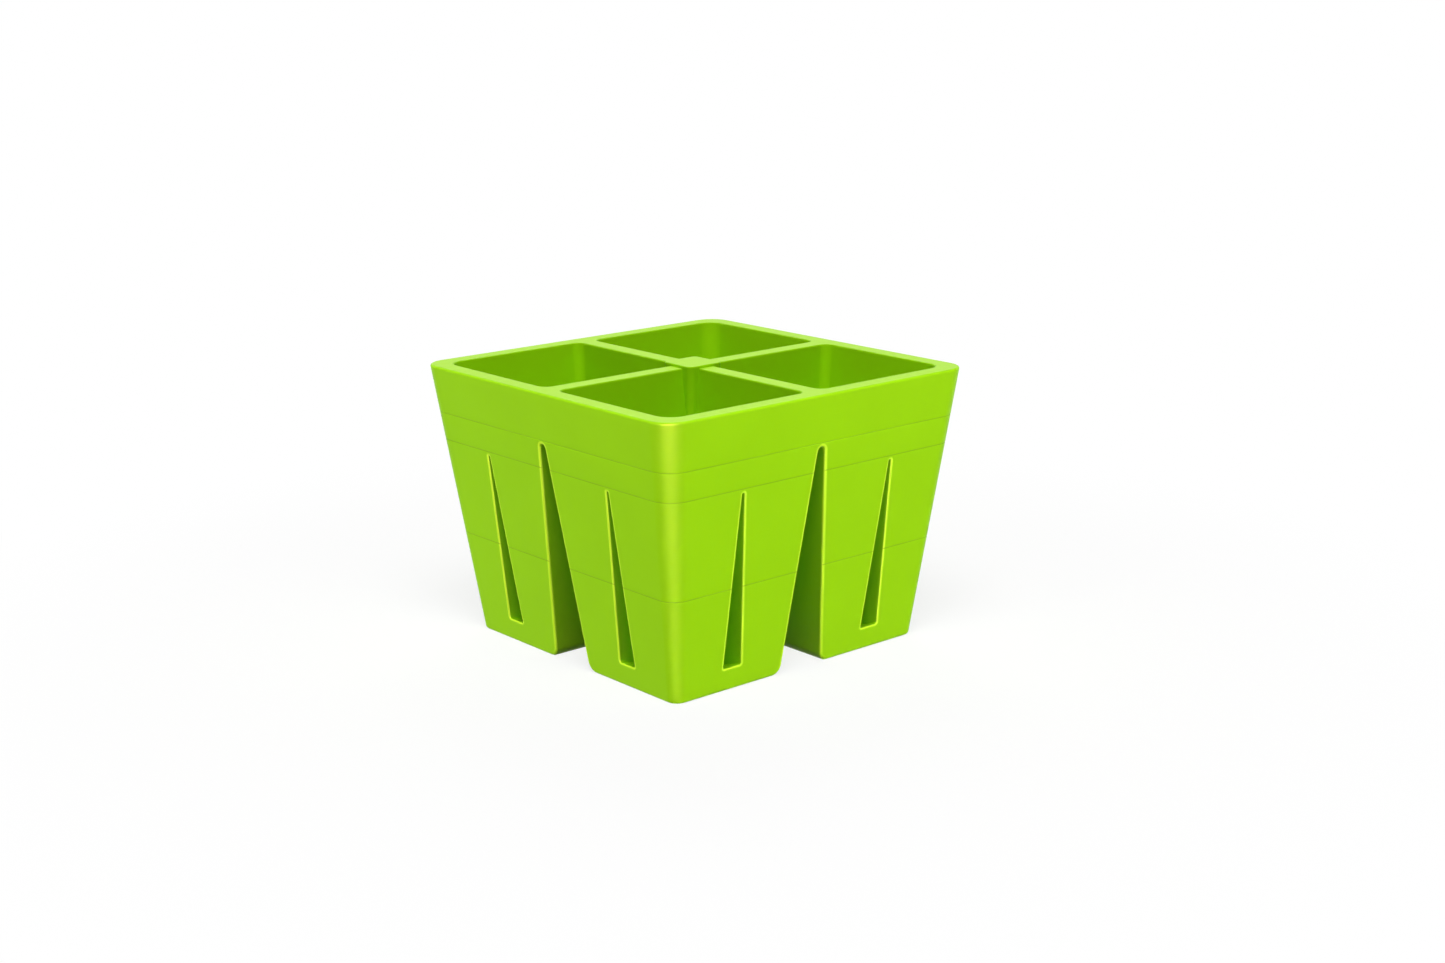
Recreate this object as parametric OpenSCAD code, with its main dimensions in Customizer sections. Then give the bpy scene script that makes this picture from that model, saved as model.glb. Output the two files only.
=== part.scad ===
// Seed starting tray with two by two tapered cells, moulded in one piece.
// Millimetres, Z up. The origin is the centre of the square that the four feet stand in,
// on the surface that the tray stands on. The outer faces look along X and Y.

/* [Outside] */
// Width of the tray over its rim
rim_w = 127; // [118:1:150]
// Width of the tray over the feet of its four cups
base_w = 103; // [96:1:112]
// Height from the ground to the rim
tray_h = 91; // [84:1:110]
// Radius of the outer corners at the rim
rim_corner_r = 8; // [6:0.5:14]
// Radius of the outer corners at the feet
foot_corner_r = 4; // [3:0.5:8]
// Rounding of the outer rim edge
rim_edge_r = 0.8; // [0.4:0.1:2]
// Rounding of the outer edge under the feet
foot_edge_r = 1; // [0.5:0.1:2.5]

/* [Cells] */
// Width of the rim between the outer face and a cell
rim_wall = 6.3; // [5:0.1:8]
// Thickness of the ribs between the cells, at the rim
rib_t = 6.2; // [5:0.1:9]
// Thickness of the outer wall at the cell floor
foot_wall = 9; // [7:0.1:12]
// Thickness of the wall between a cell and the gap beside it, at the cell floor
gap_wall = 3; // [2:0.1:5]
// Thickness of the cell floors
floor_t = 3; // [2:0.1:4]
// Radius of the cell corner that follows the corner of the tray, at the rim
cell_outer_r = 5.5; // [3:0.5:11]
// Radius of the other cell corners, at the rim
cell_inner_r = 3.2; // [2:0.1:8]
// Share of the corner radii that is left at the cell floor
cell_r_share = 0.8; // [0.5:0.05:1]
// Rounding where the cell walls meet the floor
floor_edge_r = 2.5; // [1:0.5:4]
// Rounding of the rim edge round each cell
cell_edge_r = 0.5; // [0.2:0.1:1]
// Diameter of the drain hole in each cell floor
drain_d = 8; // [4:0.5:14]

/* [Crossing post] */
// Side of the square post where the ribs cross
post_w = 14; // [11:0.1:18]
// Height of the top of the post above the rim
post_rise = 0.9; // [0.4:0.1:2]
// Radius of the upright edges of the post
post_r = 2; // [0.5:0.1:3]
// Rounding of the top edge of the post
post_edge_r = 0.4; // [0.1:0.1:0.5]

/* [Gaps between the cups] */
// Height of the top of the gap
gap_h = 74; // [60:0.5:78]
// Width of the round top of the gap
gap_top_w = 2.6; // [1.5:0.1:4]
// Width of the gap at the ground, between the leaning faces of the cups
gap_foot_w = 17.2; // [12:0.1:19]
// Radius of the lower corners of the cups, along the gap
gap_corner_r = 3.5; // [2:0.5:5]
// Rounding of the edge of the gap in the outer faces
gap_edge_r = 0.8; // [0.2:0.1:1.2]

/* [Air slots] */
// Height of the bottom of the slots
slot_z = 7.8; // [7:0.1:12]
// Height of the tip of the slots
slot_top = 64.7; // [45:0.1:68]
// How far the bottom of a slot drops on its way in to the cell
slot_drop = 3.5; // [0:0.1:3.8]
// Width of a slot at its bottom
slot_w = 7.2; // [5:0.1:10]
// Width of a slot at its tip
slot_tip_w = 0.8; // [0.6:0.1:2]
// Distance of the tip from the middle of the face
slot_tip_x = 31; // [28:0.5:34]
// Distance of the middle of the slot's bottom from the middle of the face
slot_foot_x = 29.5; // [27:0.5:31]
// Radius of the bottom corners of a slot
slot_corner_r = 0.6; // [0.3:0.1:1.5]
// Rounding of the edge of a slot in the outer face
slot_edge_r = 0.5; // [0.2:0.1:1]

/* [Witness lines] */
// Height of the lowest witness line on the outer faces
low_line_z = 34.2; // [20:0.1:40]
// Distance of the other two lines above the gap and above the slots
line_clear = 1.4; // [1.2:0.1:3]
// Width of a witness line
line_w = 0.5; // [0.3:0.1:1]
// Depth of a witness line
line_depth = 0.15; // [0.05:0.01:0.3]

/* [Hidden] */

// Steps in a quarter turn of a corner, of an edge rounding and of the end of a gap or slot
corner_n = 8;
edge_n = 3;
end_n = 4;
// How far a cutting shape reaches past what it cuts
past = 1;
// Least radius that a corner keeps where an edge rounding runs round it
least_r = 0.3;
// Share of the width of a slot's tip that its corner radii take
tip_round = 0.45;

// Points of an arc with centre c and radius r, from angle a to angle b in n steps
function arc(c, r, a, b, n) =
    [for (i = [0:n]) let (t = a + (b - a) * i / n) [c[0] + r * cos(t), c[1] + r * sin(t)]];
function backwards(list) = [for (i = [len(list) - 1:-1:0]) list[i]];
function same4(v) = [v, v, v, v];

// Square from low to high with a radius at each corner, anticlockwise from the high corner
function round_square(low, high, r) = concat(
    arc([high - r[0], high - r[0]], r[0], 0, 90, corner_n),
    arc([low + r[1], high - r[1]], r[1], 90, 180, corner_n),
    arc([low + r[2], low + r[2]], r[2], 180, 270, corner_n),
    arc([high - r[3], low + r[3]], r[3], 270, 360, corner_n));
function lift(points, z) = [for (p = points) [p[0], p[1], z]];

// How far an edge of radius r is rounded back, at a distance d from the face that it ends in
function round_back(r, d) = r - sqrt(max(0, r * r - (r - d) * (r - d)));
// Such distances, from 0 to r, at even steps round the edge
function edge_steps(r) = [for (i = [0:edge_n]) r * (1 - cos(90 * i / edge_n))];

// Solid through rings of points, which run anticlockwise as seen from where the rings lead
module skin(rings) {
    n = len(rings[0]);
    last = len(rings) - 1;
    sides = [for (k = [0:last - 1]) for (i = [0:n - 1]) let (a = k * n + i, b = k * n + (i + 1) % n)
        for (side = [[a, a + n, b + n], [a, b + n, b]]) side];
    first_cap = [for (i = [0:n - 1]) i];
    last_cap = [for (i = [n - 1:-1:0]) last * n + i];
    polyhedron([for (ring = rings) for (p = ring) p], concat(sides, [first_cap, last_cap]), convexity = 8);
}

// Outside of the tray: four leaning faces with rounded corners and edges
function face_x(z) = (base_w + (rim_w - base_w) * z / tray_h) / 2;
function outside_ring(z, back) =
    let (r = foot_corner_r + (rim_corner_r - foot_corner_r) * z / tray_h)
    lift(round_square(back - face_x(z), face_x(z) - back, same4(max(least_r, r - back))), z);
line_zs = [low_line_z, slot_top + line_clear, gap_h + line_clear];

module outside() {
    foot = [for (d = edge_steps(foot_edge_r)) outside_ring(d, round_back(foot_edge_r, d))];
    lines = [for (z = line_zs) for (k = [-1:1]) outside_ring(z + k * line_w / 2, k == 0 ? line_depth : 0)];
    rim = [for (d = backwards(edge_steps(rim_edge_r))) outside_ring(tray_h - d, round_back(rim_edge_r, d))];
    skin(concat(foot, lines, rim));
}

// Gap between two cups, which runs through under a rib: a V turned over, with a round top
// and with rounded lower corners of the cups on both sides
gap_top_r = gap_top_w / 2;
gap_top_z = gap_h - gap_top_r;
gap_reach = norm([gap_foot_w / 2, gap_top_z]);
gap_lean = acos(gap_top_r / gap_reach) - atan2(gap_top_z, gap_foot_w / 2);
function gap_x(z) = (gap_top_r + (gap_top_z - z) * sin(gap_lean)) / cos(gap_lean);
gap_corner_x = gap_x(gap_corner_r) + gap_corner_r / cos(gap_lean);

function gap_outline(grow) =
    let (
        corner = arc([gap_corner_x, gap_corner_r], gap_corner_r - grow, 270, 180 + gap_lean, end_n),
        right = concat([[gap_corner_x, -past]], corner),
        top = arc([0, gap_top_z], gap_top_r + grow, gap_lean, 180 - gap_lean, 2 * end_n),
        left = [for (p = backwards(right)) [-p[0], p[1]]])
    concat(right, top, left);

// Ring at a depth under the outer face that looks along Y, on the side that s gives
function face_ring(outline, s, depth) = [for (p = outline) [p[0], s * (face_x(p[1]) - depth), p[1]]];
// Depths and growths of a cut whose edge in the outer face is rounded with radius r
function cut_steps(r) = concat([[-past, r]], [for (d = edge_steps(r)) [d, round_back(r, d)]]);

module gap() {
    steps = cut_steps(gap_edge_r);
    skin(concat(
        [for (s = steps) face_ring(gap_outline(s[1]), 1, s[0])],
        [for (s = backwards(steps)) face_ring(gap_outline(s[1]), -1, s[0])]));
}

// Cells. The walls lean so that they stay clear of the gaps.
cell_depth = tray_h - floor_t;
near_floor = gap_x(floor_t) + gap_wall;
near_rim = rib_t / 2;
far_floor = face_x(floor_t) - foot_wall;
far_rim = rim_w / 2 - rim_wall;
function up_the_cell(floor_value, rim_value, z) =
    floor_value + (rim_value - floor_value) * (z - floor_t) / cell_depth;
function cell_ring(z, back) =
    let (
        share = up_the_cell(cell_r_share, 1, z),
        inner = max(least_r, cell_inner_r * share - back),
        outer = max(least_r, cell_outer_r * share - back),
        near = up_the_cell(near_floor, near_rim, z) + back,
        far = up_the_cell(far_floor, far_rim, z) - back)
    lift(round_square(near, far, [outer, inner, inner, inner]), z);

module cell() {
    low = [for (d = edge_steps(floor_edge_r)) cell_ring(floor_t + d, round_back(floor_edge_r, d))];
    rim = [for (d = backwards(edge_steps(cell_edge_r))) cell_ring(tray_h - d, -round_back(cell_edge_r, d))];
    over = lift(rim[edge_n], tray_h + past);
    skin(concat(low, rim, [over]));
}

// Square post where the ribs cross. It ends where the leaning cell walls have covered it.
post_foot_z = floor_t + cell_depth * (near_floor - post_w / 2) / (near_floor - near_rim);
function post_ring(z, back) =
    lift(round_square(back - post_w / 2, post_w / 2 - back, same4(max(least_r, post_r - back))), z);

module post() {
    top = tray_h + post_rise;
    rim = [for (d = backwards(edge_steps(post_edge_r))) post_ring(top - d, round_back(post_edge_r, d))];
    skin(concat([post_ring(max(floor_t / 2, post_foot_z - past), 0)], rim));
}

// Corner p of an outline that comes from a and goes on to b, with radius r, grown outwards
function soft_corner(a, p, b, r, grow) =
    let (
        u = (a - p) / norm(a - p),
        v = (b - p) / norm(b - p),
        half = acos(u * v) / 2,
        centre = p + (u + v) / norm(u + v) * r / sin(half),
        start = atan2(u[0], -u[1]),
        turn = 180 - 2 * half)
    arc(centre, r + grow, start, start + turn, end_n);

// Air slot in the face that looks along -Y, on the side of the face that s gives. Where its
// bottom drops, its sides run on in the same planes.
function slot_outline(s, grow, drop = 0) =
    let (
        foot = s * slot_foot_x,
        tip = s * slot_tip_x,
        longer = 1 + drop / (slot_top - slot_z),
        c = [tip + slot_tip_w / 2, slot_top],
        d = [tip - slot_tip_w / 2, slot_top],
        a = d + ([foot - slot_w / 2, slot_z] - d) * longer,
        b = c + ([foot + slot_w / 2, slot_z] - c) * longer,
        tip_r = slot_tip_w * tip_round)
    concat(
        soft_corner(d, a, b, slot_corner_r, grow),
        soft_corner(a, b, c, slot_corner_r, grow),
        soft_corner(b, c, d, tip_r, grow),
        soft_corner(c, d, a, tip_r, grow));

module slot(s) {
    inside = max(rim_wall, foot_wall) + past;
    inner_end = face_ring(slot_outline(s, 0, slot_drop), -1, inside);
    steps = backwards(cut_steps(slot_edge_r));
    skin(concat([inner_end], [for (t = steps) face_ring(slot_outline(s, t[1]), -1, t[0])]));
}

module drain_hole() {
    middle = (near_floor + far_floor) / 2;
    translate([middle, middle, -past]) cylinder(d = drain_d, h = floor_t + 2 * past, $fn = 48);
}

module tray() {
    color("#98d60a")
    difference() {
        union() {
            difference() {
                outside();
                for (turn = [0:90:270]) rotate([0, 0, turn]) cell();
            }
            post();
        }
        for (turn = [0, 90]) rotate([0, 0, turn]) gap();
        for (turn = [0:90:270]) rotate([0, 0, turn]) {
            for (s = [-1, 1]) slot(s);
            drain_hole();
        }
    }
}

tray();
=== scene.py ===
# %% [markdown]
# # A seed starting tray in lime-green plastic
# The real tray is one injection moulding: four tapered cups under one rim, with an upside-down
# V of air between neighbours, a slit in each outer face of a cup, and a little square post where
# the ribs cross. The CAD solid holds the true sizes, but its corners are flat facets. Here the
# same form is modelled again with smooth corners and rounded edges, and gets its plastic and its
# light.

import math

import bmesh
import bpy
from mathutils import Matrix, Vector


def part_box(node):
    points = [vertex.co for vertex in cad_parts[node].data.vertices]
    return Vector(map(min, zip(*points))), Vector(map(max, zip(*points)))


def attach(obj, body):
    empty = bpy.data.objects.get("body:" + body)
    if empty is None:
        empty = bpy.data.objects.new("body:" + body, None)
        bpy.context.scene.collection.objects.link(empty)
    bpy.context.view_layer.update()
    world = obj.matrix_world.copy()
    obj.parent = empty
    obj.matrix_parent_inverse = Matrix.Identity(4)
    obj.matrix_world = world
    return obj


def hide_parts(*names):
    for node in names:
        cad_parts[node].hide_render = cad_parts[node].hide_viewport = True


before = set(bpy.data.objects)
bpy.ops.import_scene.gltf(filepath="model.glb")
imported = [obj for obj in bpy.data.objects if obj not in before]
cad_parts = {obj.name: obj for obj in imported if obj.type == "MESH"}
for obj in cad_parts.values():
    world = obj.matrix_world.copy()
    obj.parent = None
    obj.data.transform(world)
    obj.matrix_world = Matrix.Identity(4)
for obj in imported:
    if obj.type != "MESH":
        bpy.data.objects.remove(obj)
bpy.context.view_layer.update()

# %% [markdown]
# ## The sizes of the moulding
# Every wall of a moulding leans, because the mould has to come off it. So a face needs only its
# place at the foot and at the rim, and the rest follows from its lean. Each size is named once,
# in metres, before the step that needs it. The overall height is read from the frame: its top is
# the post in the middle, which stands a little above the rim.

# %% Sizes of the outside
MM = 0.001
POST_RISE = 0.9 * MM
cad_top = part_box("tray")[1].z
RIM_H = cad_top - POST_RISE
RIM_W = 127 * MM
FOOT_W = 103 * MM
RIM_CORNER_R = 8 * MM
FOOT_CORNER_R = 4 * MM


def face_out(height):
    """How far the outer face is from the middle of the tray at a height."""
    return (FOOT_W + (RIM_W - FOOT_W) * height / RIM_H) / 2


print("Rim height:", round(RIM_H, 5), "and width:", RIM_W)

# %% [markdown]
# ## Working in edit mode from code
# An operator acts on what is selected, and after the frame is loaded the CAD solid is. So every
# step first lets go of everything, and then picks its corners, edges or faces by their place.
# These few helpers are the hand that picks.

# %% Helpers that select and edit
NEAR = 0.02 * MM


def let_go():
    """Leaves edit mode and deselects every object."""
    if bpy.context.object and bpy.context.object.mode != "OBJECT":
        bpy.ops.object.mode_set(mode="OBJECT")
    bpy.ops.object.select_all(action="DESELECT")


def hold(piece):
    """Makes a piece the only selected and active object."""
    let_go()
    piece.select_set(True)
    bpy.context.view_layer.objects.active = piece


def pick(kind, wanted):
    """In edit mode, selects the verts, edges or faces for which wanted is true, and counts them."""
    bpy.ops.mesh.select_mode(type=kind)
    bpy.ops.mesh.select_all(action="DESELECT")
    cage = bmesh.from_edit_mesh(bpy.context.object.data)
    parts = {"VERT": cage.verts, "EDGE": cage.edges, "FACE": cage.faces}[kind]
    count = 0
    for part in parts:
        if wanted(part):
            part.select_set(True)
            count += 1
    bmesh.update_edit_mesh(bpy.context.object.data)
    return count


def flat_at(height):
    """A test for corners, edges or faces that lie at one height."""

    def test(part):
        corners = [part] if isinstance(part, bmesh.types.BMVert) else part.verts
        return all(abs(corner.co.z - height) < NEAR for corner in corners)

    return test


def runs_inwards(edge):
    """True for an edge whose two ends have the same x."""
    return abs(edge.verts[0].co.x - edge.verts[1].co.x) < NEAR


def apply_place(piece):
    """Moves a piece's place, turn and scale into its mesh."""
    hold(piece)
    bpy.ops.object.transform_apply(location=True, rotation=True, scale=True)


print("Selected after loading:", [item.name for item in bpy.context.selected_objects])

# %% [markdown]
# ## A leaning block with soft corners
# The tray's outside, its cells and its post are all the same shape: a square with round corners
# that grows wider towards the top. A plane gets its corners bevelled one at a time, is extruded
# to the top height, and each corner's arc is then scaled and moved to its place there. The
# arcs keep their steps, so every side face stays flat and the corner is a true cone.

# %% Leaning block
CORNER_STEPS = 16
CORNER_SIGNS = [(1, 1), (-1, 1), (-1, -1), (1, -1)]


def leaning_block(name, foot, top):
    """A block from a foot square to a top square. Each is (low, high, four corner radii, height)."""
    low, high, radii, foot_z = foot
    top_low, top_high, top_radii, top_z = top
    middle = (low + high) / 2
    let_go()
    bpy.ops.mesh.primitive_plane_add(size=high - low, location=(middle, middle, foot_z))
    block = bpy.context.object
    block.name = block.data.name = name
    apply_place(block)
    bpy.ops.object.mode_set(mode="EDIT")
    for (x_sign, y_sign), radius in zip(CORNER_SIGNS, radii):
        corner = Vector((high if x_sign > 0 else low, high if y_sign > 0 else low, foot_z))
        pick("VERT", lambda vert: (vert.co - corner).length < NEAR)
        bpy.ops.mesh.bevel(offset=radius, segments=CORNER_STEPS, affect="VERTICES", clamp_overlap=False)
    bpy.ops.mesh.select_all(action="SELECT")
    bpy.ops.mesh.extrude_region_move(TRANSFORM_OT_translate={"value": (0, 0, top_z - foot_z)})
    for (x_sign, y_sign), radius, top_radius in zip(CORNER_SIGNS, radii, top_radii):
        centre_x = high - radius if x_sign > 0 else low + radius
        centre_y = high - radius if y_sign > 0 else low + radius
        new_x = top_high - top_radius if x_sign > 0 else top_low + top_radius
        new_y = top_high - top_radius if y_sign > 0 else top_low + top_radius
        pick("VERT", lambda vert: (
            abs(vert.co.z - top_z) < NEAR
            and (vert.co.x - centre_x) * x_sign > -NEAR
            and (vert.co.y - centre_y) * y_sign > -NEAR
        ))
        bpy.ops.transform.resize(
            value=(top_radius / radius, top_radius / radius, 1),
            center_override=(centre_x, centre_y, top_z),
        )
        bpy.ops.transform.translate(value=(new_x - centre_x, new_y - centre_y, 0))
    bpy.ops.mesh.select_all(action="SELECT")
    bpy.ops.mesh.normals_make_consistent(inside=False)
    bpy.ops.object.mode_set(mode="OBJECT")
    return block


outer_foot = (-FOOT_W / 2, FOOT_W / 2, [FOOT_CORNER_R] * 4, 0)
outer_rim = (-RIM_W / 2, RIM_W / 2, [RIM_CORNER_R] * 4, RIM_H)
tray = leaning_block("tray_moulding", outer_foot, outer_rim)
print("Outside:", len(tray.data.vertices), "corners,", len(tray.data.polygons), "faces")

# %% [markdown]
# ## Cutting with shapes
# The hollow parts are cut the way a mould's cores make them: each core is modelled as a block of
# its own, and a Boolean modifier takes it away. The exact solver keeps the edges where they
# should be, and stray double corners are merged after each cut.

# %% Boolean helper
MERGE = 0.01 * MM


def combine(piece, tool, operation):
    """Cuts a tool out of a piece, or adds it, and removes the tool."""
    hold(piece)
    cut = piece.modifiers.new(operation.lower(), "BOOLEAN")
    cut.operation = operation
    cut.solver = "EXACT"
    cut.object = tool
    bpy.ops.object.modifier_apply(modifier=cut.name)
    bpy.data.objects.remove(tool)
    bpy.ops.object.mode_set(mode="EDIT")
    bpy.ops.mesh.select_all(action="SELECT")
    bpy.ops.mesh.remove_doubles(threshold=MERGE)
    bpy.ops.object.mode_set(mode="OBJECT")


def turned_copies(piece, angles):
    """Joins a piece and copies of it, turned about the tray's middle, into one mesh."""
    copies = []
    for angle in angles:
        copy = piece.copy()
        copy.data = piece.data.copy()
        bpy.context.collection.objects.link(copy)
        copy.rotation_euler.z = math.radians(angle)
        apply_place(copy)
        copies.append(copy)
    hold(piece)
    for copy in copies:
        copy.select_set(True)
    bpy.ops.object.join()
    return piece


print("After a cut, corners closer than", MERGE / MM, "mm are merged")

# %% [markdown]
# ## The sizes inside
# Between the cups stands an upside-down V of air with a round top. Its two sides touch the round
# top, so their lean follows from the top's radius and the width at the foot.

# %% Sizes of the gaps between the cups
GAP_H = 74 * MM
GAP_TOP_R = 1.3 * MM
GAP_FOOT_W = 17.2 * MM
gap_top_z = GAP_H - GAP_TOP_R
gap_reach = math.hypot(GAP_FOOT_W / 2, gap_top_z)
gap_lean = math.acos(GAP_TOP_R / gap_reach) - math.atan2(gap_top_z, GAP_FOOT_W / 2)


def gap_out(height):
    """How far the leaning face of a cup is from the middle of the gap at a height."""
    return (GAP_TOP_R + (gap_top_z - height) * math.sin(gap_lean)) / math.cos(gap_lean)


print("The cups lean", round(math.degrees(gap_lean), 2), "degrees at the gap")

# %% [markdown]
# The cells are given by the walls that stay round them: the rim's width and the rib's thickness at
# the top, and the walls towards the outside and towards the gap at the floor.

# %% Sizes of the cells
RIM_WALL = 6.3 * MM
RIB_T = 6.2 * MM
FOOT_WALL = 9 * MM
GAP_WALL = 3 * MM
FLOOR = 3 * MM
near_floor = gap_out(FLOOR) + GAP_WALL
near_rim = RIB_T / 2
far_floor = face_out(FLOOR) - FOOT_WALL
far_rim = RIM_W / 2 - RIM_WALL
rim_cell_w = far_rim - near_rim
floor_cell_w = far_floor - near_floor
print("A cell is", round(rim_cell_w, 4), "wide at the rim and", round(floor_cell_w, 4), "at its floor")

# %% [markdown]
# ## Four cells
# A core of the mould fills each cell. It is the same leaning block again, with a larger radius at
# the tray's own corner and a fillet round its floor. It stands a little past the rim, so that the
# cut is clean. One core is modelled in its place and copied round the middle, so all four cells
# are cut at once.

# %% Four cells
CELL_OUTER_R = 5.5 * MM
CELL_INNER_R = 3.2 * MM
CELL_R_SHARE = 0.8
FLOOR_FILLET = 2.5 * MM
FILLET_STEPS = 6
PAST = 1 * MM
CORE_TURNS = (90, 180, 270)


def between(foot_value, rim_value, share):
    """A value part of the way from the foot to the rim."""
    return foot_value + (rim_value - foot_value) * share


def up_the_cell(foot_value, rim_value, height):
    """A value on the cell's leaning wall, from its floor to the rim and a little beyond."""
    return between(foot_value, rim_value, (height - FLOOR) / (RIM_H - FLOOR))


def cell_square(height):
    share = up_the_cell(CELL_R_SHARE, 1, height)
    radii = [CELL_OUTER_R * share] + [CELL_INNER_R * share] * 3
    return up_the_cell(near_floor, near_rim, height), up_the_cell(far_floor, far_rim, height), radii, height


cell_core = leaning_block("cell_core", cell_square(FLOOR), cell_square(RIM_H + PAST))
hold(cell_core)
bpy.ops.object.mode_set(mode="EDIT")
pick("EDGE", flat_at(FLOOR))
bpy.ops.mesh.bevel(offset=FLOOR_FILLET, segments=FILLET_STEPS, profile=0.5, clamp_overlap=False)
bpy.ops.object.mode_set(mode="OBJECT")
combine(tray, turned_copies(cell_core, CORE_TURNS), "DIFFERENCE")
print("After the cells:", len(tray.data.polygons), "faces")

# %% [markdown]
# ## Post where the ribs cross
# The square pad in the middle is the head of a post, which shows in the cells' inner corners too.
# The cells grow narrower downwards, and the post starts at the height at which its sides come out
# of their walls, or a touch below it, so that no sliver is left. A Boolean union joins it.

# %% Post where the ribs cross
POST_W = 14 * MM
POST_R = 2 * MM
POST_EDGE_R = 0.4 * MM
SMALL_STEPS = 4
post_foot_z = FLOOR + (RIM_H - FLOOR) * (near_floor - POST_W / 2) / (near_floor - near_rim) - PAST
post_top_z = RIM_H + POST_RISE
post_square = (-POST_W / 2, POST_W / 2, [POST_R] * 4)
post = leaning_block("crossing_post", (*post_square, post_foot_z), (*post_square, post_top_z))
hold(post)
bpy.ops.object.mode_set(mode="EDIT")
pick("EDGE", flat_at(post_top_z))
bpy.ops.mesh.bevel(offset=POST_EDGE_R, segments=SMALL_STEPS, profile=0.5, clamp_overlap=False)
bpy.ops.object.mode_set(mode="OBJECT")
combine(tray, post, "UNION")
print("After the post:", len(tray.data.polygons), "faces")

# %% [markdown]
# ## Gaps between the cups
# The air between two rows of cups is one long wedge, right through the tray under the ribs. A cube
# is scaled to it and its top face narrowed. Then the two top edges are bevelled with the whole
# half-width, which makes them one round top. A second wedge is turned by 90 degrees.

# %% Gaps between the cups
GAP_TOP_STEPS = 8


def gap_core(turn):
    """The air between two rows of cups: a leaning wedge with a round top, right through the tray."""
    let_go()
    bpy.ops.mesh.primitive_cube_add(size=2, location=(0, 0, (GAP_H - PAST) / 2))
    core = bpy.context.object
    core.scale = (gap_out(-PAST), RIM_W / 2 + PAST, (GAP_H + PAST) / 2)
    apply_place(core)
    bpy.ops.object.mode_set(mode="EDIT")
    pick("FACE", flat_at(GAP_H))
    narrowed = gap_out(GAP_H) / gap_out(-PAST)
    bpy.ops.transform.resize(value=(narrowed, 1, 1), center_override=(0, 0, GAP_H))
    pick("EDGE", lambda edge: flat_at(GAP_H)(edge) and runs_inwards(edge))
    bpy.ops.mesh.bevel(offset=gap_out(GAP_H), segments=GAP_TOP_STEPS, profile=0.5, clamp_overlap=False)
    bpy.ops.mesh.select_all(action="SELECT")
    bpy.ops.mesh.remove_doubles(threshold=MERGE)
    bpy.ops.mesh.normals_make_consistent(inside=False)
    bpy.ops.object.mode_set(mode="OBJECT")
    core.rotation_euler.z = math.radians(turn)
    apply_place(core)
    return core


for turn in (0, 90):
    combine(tray, gap_core(turn), "DIFFERENCE")
print("After the gaps:", len(tray.data.polygons), "faces")

# %% [markdown]
# ## Lower corners of the cups
# Seen from a side, a cup's lower corners beside the gap are rounded with a clear radius. Those
# eight long edges are picked by their place, at the foot and on the gap's side, and bevelled. A
# bevel takes the distance from the corner at which the rounding starts, so that is worked out
# from the radius and the lean.

# %% Round lower corners of the cups
GAP_CORNER_R = 3.5 * MM
GAP_CORNER_STEPS = 8
gap_corner_set = GAP_CORNER_R / math.tan((math.pi / 2 + gap_lean) / 2)


def along_gap_foot(edge):
    """True for the edges where a cup's underside meets the gap."""
    a, b = (vert.co for vert in edge.verts)
    by_x = all(abs(abs(end.x) - GAP_FOOT_W / 2) < NEAR for end in (a, b)) and abs(a.x - b.x) < NEAR
    by_y = all(abs(abs(end.y) - GAP_FOOT_W / 2) < NEAR for end in (a, b)) and abs(a.y - b.y) < NEAR
    return flat_at(0)(edge) and (by_x or by_y)


hold(tray)
bpy.ops.object.mode_set(mode="EDIT")
rounded = pick("EDGE", along_gap_foot)
bpy.ops.mesh.bevel(offset=gap_corner_set, segments=GAP_CORNER_STEPS, profile=0.5, clamp_overlap=False)
bpy.ops.object.mode_set(mode="OBJECT")
print("Rounded", rounded, "lower edges of the cups")

# %% [markdown]
# ## Air slits
# Roots that reach the air in a slit stop growing and branch instead. A slit is a tall triangle
# with a flat foot. Its core starts as a cube, its top face is narrowed and moved to the tip, and
# its corners are bevelled. The foot drops inwards, and the sides have to stay flat meanwhile. So
# the low corners at each end are scaled about the point where the two sides would meet: the deep
# end grows, and the end that stands before the face shrinks.

# %% Air slits
SLIT_FOOT_Z = 7.8 * MM
SLIT_TOP_Z = 64.7 * MM
SLIT_DROP = 3.5 * MM
SLIT_DEPTH = FOOT_WALL + PAST
SLIT_W = 7.2 * MM
SLIT_TIP_W = 0.8 * MM
SLIT_TIP_OUT = 31 * MM
SLIT_FOOT_OUT = 29.5 * MM
SLIT_CORNER_R = 0.6 * MM
SLIT_TIP_R = 0.34 * MM


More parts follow.
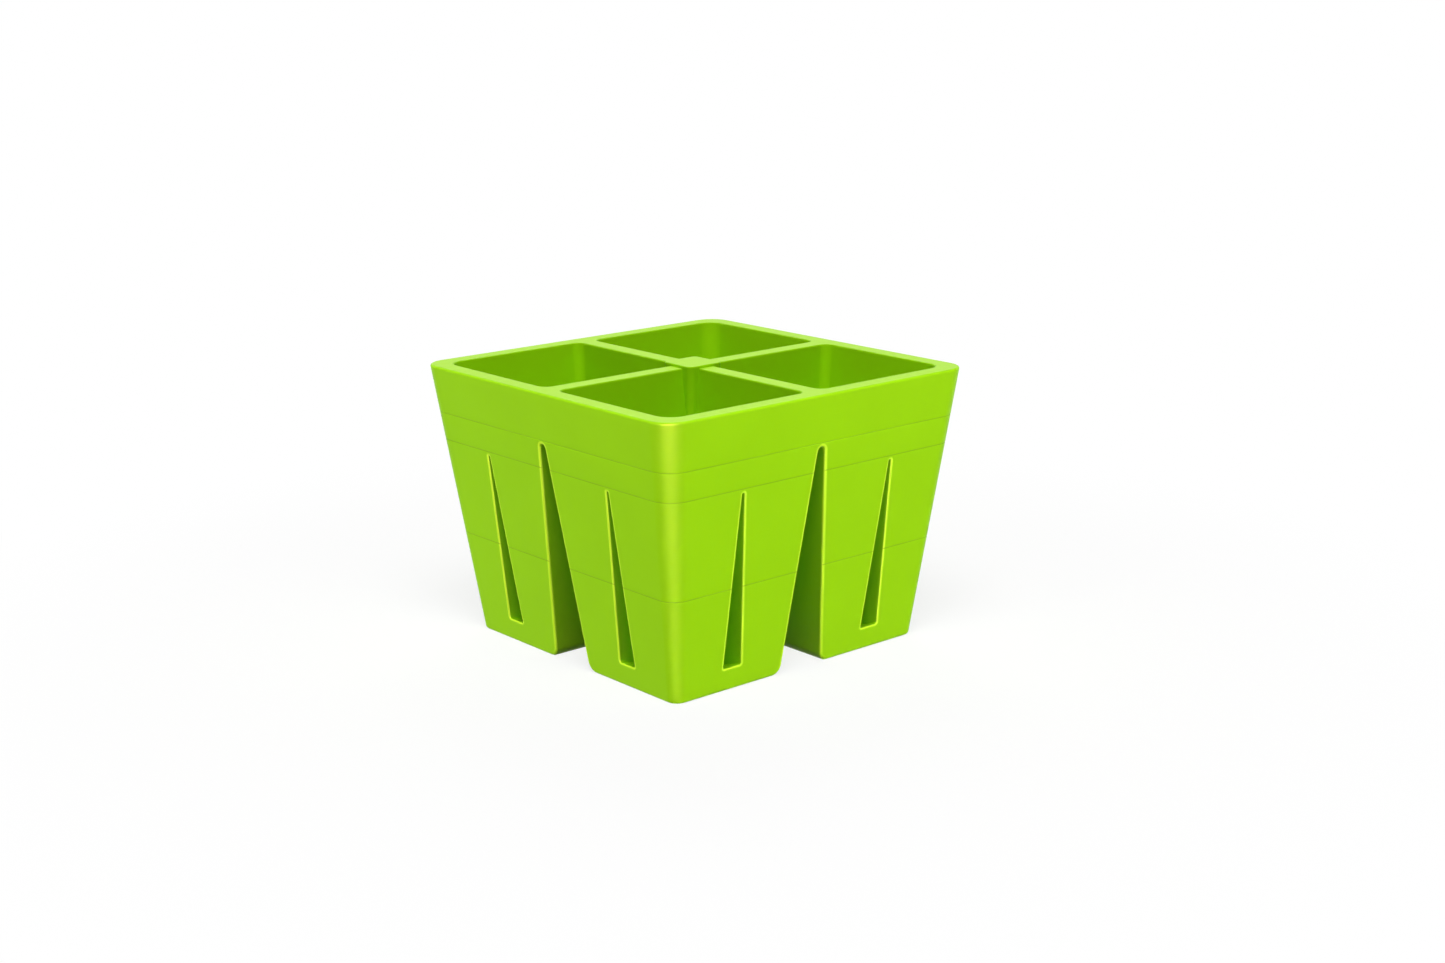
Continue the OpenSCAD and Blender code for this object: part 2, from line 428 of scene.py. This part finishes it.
def slit_core(side):
    """The wedge of air in a slit of the face that looks along -Y, on one side of that face."""
    foot_x = side * SLIT_FOOT_OUT
    outside_y = -(RIM_W / 2 + PAST)
    inside_y = SLIT_DEPTH - face_out(SLIT_FOOT_Z)
    let_go()
    bpy.ops.mesh.primitive_cube_add(
        size=2, location=(foot_x, (outside_y + inside_y) / 2, (SLIT_FOOT_Z + SLIT_TOP_Z) / 2)
    )
    core = bpy.context.object
    core.scale = (SLIT_W / 2, (inside_y - outside_y) / 2, (SLIT_TOP_Z - SLIT_FOOT_Z) / 2)
    apply_place(core)
    bpy.ops.object.mode_set(mode="EDIT")
    pick("FACE", flat_at(SLIT_TOP_Z))
    bpy.ops.transform.resize(value=(SLIT_TIP_W / SLIT_W, 1, 1), center_override=(foot_x, 0, SLIT_TOP_Z))
    bpy.ops.transform.translate(value=(side * (SLIT_TIP_OUT - SLIT_FOOT_OUT), 0, 0))
    for height, radius in ((SLIT_FOOT_Z, SLIT_CORNER_R), (SLIT_TOP_Z, SLIT_TIP_R)):
        pick("EDGE", lambda edge: flat_at(height)(edge) and runs_inwards(edge))
        bpy.ops.mesh.bevel(offset=radius, segments=SMALL_STEPS, profile=0.5, clamp_overlap=False)
    point_rise = (SLIT_TOP_Z - SLIT_FOOT_Z) * SLIT_W / (SLIT_W - SLIT_TIP_W)
    point_x = foot_x + side * (SLIT_TIP_OUT - SLIT_FOOT_OUT) * point_rise / (SLIT_TOP_Z - SLIT_FOOT_Z)
    low_end = SLIT_FOOT_Z + 2 * SLIT_CORNER_R
    for end_y in (outside_y, inside_y):
        share_in = (end_y + face_out(SLIT_FOOT_Z)) / SLIT_DEPTH
        stretch = 1 + SLIT_DROP * share_in / point_rise
        pick("VERT", lambda vert: abs(vert.co.y - end_y) < NEAR and vert.co.z < low_end)
        bpy.ops.transform.resize(
            value=(stretch, 1, stretch), center_override=(point_x, end_y, SLIT_FOOT_Z + point_rise)
        )
    bpy.ops.object.mode_set(mode="OBJECT")
    return core


slits = slit_core(-1)
other_slit = slit_core(1)
hold(slits)
other_slit.select_set(True)
bpy.ops.object.join()
combine(tray, turned_copies(slits, CORE_TURNS), "DIFFERENCE")
print("After the slits:", len(tray.data.polygons), "faces")

# %% [markdown]
# ## Drain holes
# Each cell floor has a round hole in its middle, where water leaves and a finger or stick pushes
# the plug out. A cylinder that stands out of the floor on both sides cuts it cleanly.

# %% Drain holes
DRAIN_D = 8 * MM
DRAIN_STEPS = 48
drain_out = (near_floor + far_floor) / 2
let_go()
bpy.ops.mesh.primitive_cylinder_add(
    vertices=DRAIN_STEPS,
    radius=DRAIN_D / 2,
    depth=FLOOR + 2 * PAST,
    location=(drain_out, drain_out, FLOOR / 2),
)
drain = bpy.context.object
apply_place(drain)
combine(tray, turned_copies(drain, CORE_TURNS), "DIFFERENCE")
print("After the drain holes:", len(tray.data.polygons), "faces")

# %% [markdown]
# ## Rounded edges
# No moulded edge is sharp, and it is the narrow bright line along each edge that makes plastic
# look real. One Bevel modifier rounds them all, and a weight on each edge sets its radius: wide
# round the rim and the feet, narrow round the cells and slits. Along the lower corner of a cup
# the radius grows little by little, so that the edge of the gap runs into the edge of the foot.

# %% Weigh the edges by their place
RIM_EDGE_R = 0.8 * MM
FOOT_EDGE_R = 1 * MM
GAP_EDGE_R = 0.8 * MM
SLIT_EDGE_R = 0.5 * MM
CELL_EDGE_R = 0.5 * MM
SHARP_TURN = math.radians(40)
ON_FACE = 0.25 * MM
widest_edge = max(RIM_EDGE_R, FOOT_EDGE_R)
rim_middle = far_rim + RIM_WALL / 2


def edge_radius(edge):
    """The radius of a rounded edge of the moulding, from its place, or 0 where it stays as it is."""
    if not edge.is_manifold or not edge.is_convex or edge.calc_face_angle() < SHARP_TURN:
        return 0
    middle = (edge.verts[0].co + edge.verts[1].co) / 2
    across = max(abs(middle.x), abs(middle.y))
    along = min(abs(middle.x), abs(middle.y))
    if flat_at(RIM_H)(edge):
        return RIM_EDGE_R if across > rim_middle else CELL_EDGE_R
    if flat_at(0)(edge):
        return FOOT_EDGE_R if across > far_floor else 0
    if abs(across - face_out(middle.z)) > ON_FACE:
        return 0
    if along > SLIT_FOOT_OUT - SLIT_W:
        return SLIT_EDGE_R
    up_the_corner = min(1, middle.z / gap_corner_set)
    return between(FOOT_EDGE_R, GAP_EDGE_R, up_the_corner)


hold(tray)
cage = bmesh.new()
cage.from_mesh(tray.data)
weight = cage.edges.layers.float.new("bevel_weight_edge")
counts = {}
for edge in cage.edges:
    radius = edge_radius(edge)
    edge[weight] = radius / widest_edge
    name = round(radius / MM, 1)
    counts[name] = counts.get(name, 0) + 1
cage.to_mesh(tray.data)
cage.free()
print("Edges by radius in millimetres:", dict(sorted(counts.items())))

# %% [markdown]
# The modifier reads its width as the widest radius, and an edge's weight takes a share of it.
# Loop slide is off, because it would pull the rounding off its radius where walls lean. The mesh
# gets two empty material slots, and the modifier puts the second one's number on every face that
# it makes. That number tells the rounded faces from the others in the next step.

# %% Round the edges
ROUNDING_STEPS = 5
rounding = tray.modifiers.new("rounded_edges", "BEVEL")
rounding.limit_method = "WEIGHT"
rounding.width = widest_edge
rounding.segments = ROUNDING_STEPS
rounding.profile = 0.5
rounding.use_clamp_overlap = False
rounding.loop_slide = False
rounding.miter_outer = "MITER_SHARP"
for slot in range(2):
    tray.data.materials.append(None)
rounding.material = 1
bpy.ops.object.modifier_apply(modifier=rounding.name)
print("With rounded edges:", len(tray.data.polygons), "faces")

# %% [markdown]
# ## Painted highlights on the crests
# The edges round the gaps and slits get a painted highlight, a paler lime in a line about as wide as
# the rounding, and the rim's top gets a little painted highlight too. A mesh attribute says how much
# each corner gets, and the material reads it. A number at the corners blends right across a face, so
# the outer faces are first inset by a narrow strip, and the line fades inside that strip.

# %% Mark the painted highlights on the rounded edges
EDGE_HIGHLIGHT_PAINT = "painted_edge_highlight"
CREST_DEPTH = 0.24 * MM
CREST_FADE_W = 0.45 * MM
TOP_PAINTED_HIGHLIGHT = 0.25
ON_SKIN = 0.01 * MM


def depth_inside(point):
    """How far a point lies inside the outer faces and their rounded corners, seen from above."""
    radius = between(FOOT_CORNER_R, RIM_CORNER_R, point.z / RIM_H)
    corner = face_out(point.z) - radius
    past_x = abs(point.x) - corner
    past_y = abs(point.y) - corner
    if past_x > 0 and past_y > 0:
        return radius - math.hypot(past_x, past_y)
    return face_out(point.z) - max(abs(point.x), abs(point.y))


def painted_highlight_share(vert):
    """Painted highlight: 1 on the outer half of a gap's or slit's rounded edge, fading at the foot, less on
    the tops.
    """
    if abs(vert.co.z - RIM_H) < NEAR or vert.co.z > post_top_z - NEAR:
        return TOP_PAINTED_HIGHLIGHT
    if all(face.material_index != 1 for face in vert.link_faces) or vert.co.z > GAP_H + PAST:
        return 0
    if depth_inside(vert.co) > CREST_DEPTH:
        return 0
    return min(1, max(0, (vert.co.z - FOOT_EDGE_R) / GAP_CORNER_R))


def on_outer_flat(face):
    """True for the outer faces and their corners, without the rounded edges beside them."""
    return face.material_index == 0 and all(abs(depth_inside(vert.co)) < ON_SKIN for vert in face.verts)


hold(tray)
bpy.ops.object.mode_set(mode="EDIT")
outer_faces = pick("FACE", on_outer_flat)
bpy.ops.mesh.inset(thickness=CREST_FADE_W, depth=0, use_boundary=True, use_even_offset=True)
bpy.ops.object.mode_set(mode="OBJECT")

# The crest attribute holds the painted highlight, a paler lime standing in for light on the edges and the
# rim's top.
cage = bmesh.new()
cage.from_mesh(tray.data)
crest = cage.verts.layers.float.new(EDGE_HIGHLIGHT_PAINT)
for vert in cage.verts:
    vert[crest] = painted_highlight_share(vert)
crests = sum(vert[crest] for vert in cage.verts)
for face in cage.faces:
    face.material_index = 0
cage.to_mesh(tray.data)
cage.free()
tray.data.materials.clear()
print("Inset", outer_faces, "outer faces, and the crests add up to", int(crests), "corners")

# %% [markdown]
# ## Three faint witness lines
# Round the outer faces run three hair lines, left by the joints between the blocks of the mould.
# The upper two run just above the slits and just above the gaps. They could be painted on only,
# but a real line is a tiny groove that catches the light. The outer faces are bisected three
# times at each line, and the middle cut is pressed in by a hair. A second attribute marks the
# middle cut for a painted shade: a duller colour along it that deepens the groove's shade.

# %% Witness lines
LINE_RISE = 1.4 * MM
LINE_HEIGHTS = [34.2 * MM, SLIT_TOP_Z + LINE_RISE, GAP_H + LINE_RISE]
LINE_W = 0.5 * MM
LINE_DEPTH = 0.15 * MM
LINE_SHADE_PAINT = "witness_line_painted_shade"


def on_outside(face):
    """True for the outer faces with their corners, and for the rounded edges of gaps and slits."""
    return all(depth_inside(vert.co) < GAP_EDGE_R + ON_SKIN for vert in face.verts)


hold(tray)
bpy.ops.object.mode_set(mode="EDIT")
for line_z in LINE_HEIGHTS:
    for cut_z in (line_z - LINE_W / 2, line_z, line_z + LINE_W / 2):
        pick("FACE", on_outside)
        bpy.ops.mesh.bisect(plane_co=(0, 0, cut_z), plane_no=(0, 0, 1))
for line_z in LINE_HEIGHTS:
    pressed = pick("VERT", lambda vert: flat_at(line_z)(vert) and depth_inside(vert.co) < ON_SKIN)
    drawn_in = 1 - LINE_DEPTH / face_out(line_z)
    bpy.ops.transform.resize(value=(drawn_in, drawn_in, 1), center_override=(0, 0, line_z))
    print("Pressed in", pressed, "corners at", round(line_z / MM, 1), "mm")
bpy.ops.object.mode_set(mode="OBJECT")

# %% Mark the painted shade along the witness lines
cage = bmesh.new()
cage.from_mesh(tray.data)
# This layer holds the painted shade: 1 on the pressed-in corners of each line.
witness = cage.verts.layers.float.new(LINE_SHADE_PAINT)
for vert in cage.verts:
    in_line = any(flat_at(line_z)(vert) for line_z in LINE_HEIGHTS)
    vert[witness] = in_line and depth_inside(vert.co) < 1.5 * LINE_DEPTH
marked = sum(vert[witness] for vert in cage.verts)
cage.to_mesh(tray.data)
cage.free()
print("Marked", int(marked), "corners on the lines")

# %% [markdown]
# ## Smooth shading
# The rounded parts should shade as one curve and the flat faces as true planes. Smooth shading
# by angle keeps the creases inside the cells, and a Weighted Normal modifier lets each wide flat
# face rule the normals along its border, so that the curve starts only where the rounding does.

# %% Shade and ride
CREASE = math.radians(35)
FLAT_FACE_WEIGHT = 50
hold(tray)
bpy.ops.object.shade_smooth_by_angle(angle=CREASE)
even_shading = tray.modifiers.new("even_shading", "WEIGHTED_NORMAL")
even_shading.weight = FLAT_FACE_WEIGHT
even_shading.keep_sharp = True
bpy.ops.object.modifier_apply(modifier=even_shading.name)
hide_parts("tray")
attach(tray, "root")
triangles = sum(len(face.vertices) - 2 for face in tray.data.polygons)
print("The moulding has", triangles, "triangles")

# %% [markdown]
# ## Satin polypropylene
# The tray is polypropylene, coloured right through and moulded against a finely eroded steel
# face. That gives the eye a strong lime colour with a soft sheen, a grain that is just felt, and
# a tone that wanders a little where the melt flowed. All of it is procedural, on Object
# coordinates, so it stays on the plastic from every side.

# %% Helpers for materials
def linear(hex_colour):
    """An sRGB hex colour as the linear values that a shader takes."""
    values = [int(hex_colour[i : i + 2], 16) / 255 for i in (1, 3, 5)]
    return [v / 12.92 if v <= 0.04045 else ((v + 0.055) / 1.055) ** 2.4 for v in values] + [1]


def add_node(tree, kind, settings=None, inputs=None):
    """Adds a node. Settings are its properties. Inputs are values, or sockets to link from."""
    node = tree.nodes.new(kind)
    for name, value in (settings or {}).items():
        setattr(node, name, value)
    for name, value in (inputs or {}).items():
        if isinstance(value, bpy.types.NodeSocket):
            tree.links.new(value, node.inputs[name])
        else:
            node.inputs[name].default_value = value
    return node


def new_material(name):
    """A material with an empty node tree and its output node."""
    material = bpy.data.materials.new(name)
    material.use_nodes = True
    material.node_tree.nodes.clear()
    return material, material.node_tree, add_node(material.node_tree, "ShaderNodeOutputMaterial")


print("Mid grey #808080 as linear values:", [round(value, 3) for value in linear("#808080")])

# %% [markdown]
# The flow tone changes over about 30 mm and the sheen over about 4 mm. The grain of an eroded mould
# is near 0.05 mm, too fine to show from here, so it is drawn as coarse as it needs to be felt. The
# crest attribute lays a paler lime over the lime as painted highlight, and the line attribute a
# duller lime as painted shade. Polypropylene's IOR is 1.49, but the sheen in the photo is weak
# and warm, so its level is low and its tint yellow.

# %% Injection-moulded polypropylene
LIME = "#98d60a"
LIME_DEEP = "#95d209"
# Painted highlight: the paler lime laid on the crests of the edges and on the rim's top.
LIME_PAINTED_HIGHLIGHT = "#d6ff34"
# Painted shade: the duller lime laid along the witness lines.
LIME_PAINTED_LINE_SHADE = "#6b961c"
PAINTED_HIGHLIGHT_SHARE = 0.9
LINE_SHADE_SHARE = 0.6
FLOW_SIZE = 30 * MM
FLOW_RANGE = (0.3, 0.7)
SHEEN_SIZE = 4 * MM
SHEEN_RANGE = (0.25, 0.75)
ROUGHNESS_RANGE = (0.38, 0.46)
GRAIN_SIZE = 0.3 * MM
GRAIN_HEIGHT = 0.004 * MM
GRAIN_SHARE = 0.5
PLASTIC_IOR = 1.49
GLOSS_LEVEL = 0.1
GLOSS_TINT = "#ffea60"


def polypropylene():
    """Lime polypropylene with flow tone, uneven sheen, a fine eroded grain, painted highlight and painted
    shade.
    """
    material, tree, output = new_material("injection_moulded_polypropylene")
    place = add_node(tree, "ShaderNodeTexCoord").outputs["Object"]
    flow = add_node(
        tree,
        "ShaderNodeTexNoise",
        inputs={"Vector": place, "Scale": 1 / FLOW_SIZE, "Detail": 3, "Roughness": 0.55},
    )
    tone = add_node(
        tree,
        "ShaderNodeMapRange",
        inputs={"Value": flow.outputs["Fac"], "From Min": FLOW_RANGE[0], "From Max": FLOW_RANGE[1]},
    )
    colour = add_node(
        tree,
        "ShaderNodeMix",
        {"data_type": "RGBA"},
        {"Factor": tone.outputs["Result"], 6: linear(LIME_DEEP), 7: linear(LIME)},
    )
    # Painted highlight: a paler lime mixed in along the edge crests and on the rim's top.
    crest = add_node(tree, "ShaderNodeAttribute", {"attribute_name": EDGE_HIGHLIGHT_PAINT})
    highlight_paint_share = add_node(
        tree, "ShaderNodeMath", {"operation": "MULTIPLY"}, {0: crest.outputs["Fac"], 1: PAINTED_HIGHLIGHT_SHARE}
    )
    highlight_painted = add_node(
        tree,
        "ShaderNodeMix",
        {"data_type": "RGBA"},
        {"Factor": highlight_paint_share.outputs["Value"], 6: colour.outputs[2], 7: linear(LIME_PAINTED_HIGHLIGHT)},
    )
    # Painted shade: a duller lime mixed in along the witness lines.
    witness_line_painted_shade = add_node(tree, "ShaderNodeAttribute", {"attribute_name": LINE_SHADE_PAINT})
    line_shade_share = add_node(
        tree, "ShaderNodeMath", {"operation": "MULTIPLY"}, {0: witness_line_painted_shade.outputs["Fac"], 1: LINE_SHADE_SHARE}
    )
    line_shaded = add_node(
        tree,
        "ShaderNodeMix",
        {"data_type": "RGBA"},
        {"Factor": line_shade_share.outputs["Value"], 6: highlight_painted.outputs[2], 7: linear(LIME_PAINTED_LINE_SHADE)},
    )
    sheen = add_node(
        tree,
        "ShaderNodeTexNoise",
        inputs={"Vector": place, "Scale": 1 / SHEEN_SIZE, "Detail": 4, "Roughness": 0.6},
    )
    dullness = add_node(
        tree,
        "ShaderNodeMapRange",
        inputs={
            "Value": sheen.outputs["Fac"],
            "From Min": SHEEN_RANGE[0],
            "From Max": SHEEN_RANGE[1],
            "To Min": ROUGHNESS_RANGE[0],
            "To Max": ROUGHNESS_RANGE[1],
        },
    )
    grain = add_node(
        tree,
        "ShaderNodeTexNoise",
        inputs={"Vector": place, "Scale": 1 / GRAIN_SIZE, "Detail": 2, "Roughness": 0.5},
    )
    relief = add_node(
        tree,
        "ShaderNodeBump",
        inputs={"Height": grain.outputs["Fac"], "Strength": GRAIN_SHARE, "Distance": GRAIN_HEIGHT},
    )
    plastic = add_node(
        tree,
        "ShaderNodeBsdfPrincipled",
        inputs={
            "Base Color": line_shaded.outputs[2],
            "Roughness": dullness.outputs["Result"],
            "Normal": relief.outputs["Normal"],
            "IOR": PLASTIC_IOR,
            "Specular IOR Level": GLOSS_LEVEL,
            "Specular Tint": linear(GLOSS_TINT),
        },
    )
    tree.links.new(plastic.outputs["BSDF"], output.inputs["Surface"])
    return material


tray.data.materials.clear()
tray.data.materials.append(polypropylene())
print("Material:", tray.data.materials[0].name)

# %% [markdown]
# ## Floor and backdrop
# The picture is a plain product shot: the object on white, in soft light. The floor is a matt
# board that keeps the shadow near the tray and turns to plain white further out. Light Path lets
# the board look paler to the camera than it is to the light that it throws back at the tray.

# %% Floor
FLOOR_SIZE = 6.0
FLOOR_DROP = 0.02 * MM
BOARD_SEEN = "#f2f2f2"
BOARD_LIT = "#505050"
BOARD_ROUGHNESS = 0.8
SHADOW_SHARE = 0.2
SHADOW_NEAR = 0.12
SHADOW_FAR = 0.3
WHITE = (1, 1, 1, 1)


def seen_directly(tree):
    """1 for rays from the camera and for mirrored and passing rays, and 0 for the others."""
    ray = add_node(tree, "ShaderNodeLightPath")
    first = add_node(
        tree,
        "ShaderNodeMath",
        {"operation": "MAXIMUM"},
        {0: ray.outputs["Is Camera Ray"], 1: ray.outputs["Is Glossy Ray"]},
    )
    return add_node(
        tree,
        "ShaderNodeMath",
        {"operation": "MAXIMUM"},
        {0: first.outputs["Value"], 1: ray.outputs["Is Transmission Ray"]},
    ).outputs["Value"]


def studio_floor():
    """A pale matt board that the camera sees as near white, with the shadow kept."""
    material, tree, output = new_material("pale_matt_board")
    tint = add_node(
        tree,
        "ShaderNodeMix",
        {"data_type": "RGBA"},
        {"Factor": seen_directly(tree), 6: linear(BOARD_LIT), 7: linear(BOARD_SEEN)},
    )
    board = add_node(
        tree, "ShaderNodeBsdfDiffuse", inputs={"Color": tint.outputs[2], "Roughness": BOARD_ROUGHNESS}
    )
    white = add_node(tree, "ShaderNodeEmission", inputs={"Color": WHITE, "Strength": 1})
    place = add_node(tree, "ShaderNodeTexCoord").outputs["Object"]
    distance = add_node(tree, "ShaderNodeVectorMath", {"operation": "LENGTH"}, {0: place})
    whiteness = add_node(
        tree,
        "ShaderNodeMapRange",
        {"interpolation_type": "SMOOTHSTEP"},
        {
            "Value": distance.outputs["Value"],
            "From Min": SHADOW_NEAR,
            "From Max": SHADOW_FAR,
            "To Min": 1 - SHADOW_SHARE,
            "To Max": 1,
        },
    )
    share = add_node(
        tree,
        "ShaderNodeMath",
        {"operation": "MULTIPLY"},
        {0: seen_directly(tree), 1: whiteness.outputs["Result"]},
    )
    mix = add_node(
        tree,
        "ShaderNodeMixShader",
        inputs={"Fac": share.outputs["Value"], 1: board.outputs["BSDF"], 2: white.outputs["Emission"]},
    )
    tree.links.new(mix.outputs["Shader"], output.inputs["Surface"])
    return material


let_go()
bpy.ops.mesh.primitive_plane_add(size=FLOOR_SIZE, location=(0, 0, -FLOOR_DROP))
floor = bpy.context.object
floor.name = floor.data.name = "studio_floor"
floor.data.materials.append(studio_floor())
print("Floor:", FLOOR_SIZE, "m wide")

# %% [markdown]
# The world behind the floor is white to the camera and in reflections, and gives the tray only a
# very weak fill, so that the inside of the gaps and slits stays dark.

# %% World
SKY_STRENGTH = 0.04
world = bpy.data.worlds.new("white_studio")
bpy.context.scene.world = world
world.use_nodes = True
world.node_tree.nodes.clear()
world_tree = world.node_tree
sky_light = add_node(
    world_tree, "ShaderNodeBackground", inputs={"Color": WHITE, "Strength": SKY_STRENGTH}
)
sky_seen = add_node(world_tree, "ShaderNodeBackground", inputs={"Color": WHITE, "Strength": 1})
sky_mix = add_node(
    world_tree,
    "ShaderNodeMixShader",
    inputs={
        "Fac": seen_directly(world_tree),
        1: sky_light.outputs["Background"],
        2: sky_seen.outputs["Background"],
    },
)
world_output = add_node(world_tree, "ShaderNodeOutputWorld")
world_tree.links.new(sky_mix.outputs["Shader"], world_output.inputs["Surface"])
print("Sky strength:", SKY_STRENGTH)

# %% [markdown]
# ## Lamps
# A long low box at each side, level with the tray, gives each face beside the front corner one even
# level and leaves the cells alone. Two large boxes above light the rim and the walls in the cells.
# The pale band down the front corner is a reflection. It comes from a low strip in front of that
# corner, which gives only gloss and stands below the rim, so that the rim's top can't mirror it.

# %% Lamps
AIM = Vector((0, 0, 45 * MM))
LAMP_DISTANCE = 1.2
SIDE_W = 0.5
LOW_H = 0.08
TOP_W = 0.6
GLINT_W = 0.9


def soft_box(name, azimuth, elevation, width, height, power):
    """An area lamp aimed at the tray. Azimuth 0 stands in front of -Y and 90 in front of +X."""
    turn = math.radians(azimuth)
    rise = math.radians(elevation)
    way = Vector((math.sin(turn) * math.cos(rise), -math.cos(turn) * math.cos(rise), math.sin(rise)))
    data = bpy.data.lights.new(name, "AREA")
    data.shape = "RECTANGLE"
    data.size = width
    data.size_y = height
    data.energy = power
    lamp = bpy.data.objects.new(name, data)
    bpy.context.collection.objects.link(lamp)
    lamp.location = AIM + way * LAMP_DISTANCE
    lamp.rotation_euler = (-way).to_track_quat("-Z", "Y").to_euler()
    return lamp


soft_box("right_box", 104, 0, SIDE_W, LOW_H, 10.5)
soft_box("left_box", -14, 0, SIDE_W, LOW_H, 9)
soft_box("front_top_box", 50, 62, TOP_W, TOP_W, 11.7)
soft_box("back_top_box", 230, 50, TOP_W, TOP_W, 6)
glint = soft_box("corner_glint_box", 48, 0, GLINT_W, LOW_H, 560)
glint.visible_diffuse = False

# %% [markdown]
# ## Camera
# The photograph looks at the front corner from a little above, through a normal lens. The
# camera stands on a line through the middle of the tray, given by its azimuth, elevation and
# distance, and is aimed and rolled a touch to match how the object sits in the frame.

# %% Camera
CAMERA_AZIMUTH = 50.03
CAMERA_ELEVATION = 14.94
CAMERA_DISTANCE = 676.98 * MM
CAMERA_LENS = 50.90
CAMERA_ROLL = -0.47
AIM_HEIGHT = 51.47 * MM
AIM_SIDE = 9.4 * MM

turn = math.radians(CAMERA_AZIMUTH)
rise = math.radians(CAMERA_ELEVATION)
roll = math.radians(CAMERA_ROLL)
side = Vector((math.cos(turn), math.sin(turn), 0))
way = Vector((math.sin(turn) * math.cos(rise), -math.cos(turn) * math.cos(rise), math.sin(rise)))
eye = AIM + way * CAMERA_DISTANCE
ahead = (Vector((0, 0, AIM_HEIGHT)) + side * AIM_SIDE - eye).normalized()
level = ahead.cross(Vector((0, 0, 1))).normalized()
upright = level.cross(ahead)
right = level * math.cos(roll) + upright * math.sin(roll)
up = upright * math.cos(roll) - level * math.sin(roll)

camera_data = bpy.data.cameras.new("camera")
camera_data.lens = CAMERA_LENS
camera_data.sensor_width = 36
camera = bpy.data.objects.new("camera", camera_data)
bpy.context.collection.objects.link(camera)
camera.matrix_world = Matrix((
    (right.x, up.x, -ahead.x, eye.x),
    (right.y, up.y, -ahead.y, eye.y),
    (right.z, up.z, -ahead.z, eye.z),
    (0, 0, 0, 1),
))
bpy.context.scene.camera = camera
bpy.context.scene.view_settings.view_transform = "Standard"
print("Camera at", [round(value, 3) for value in eye])
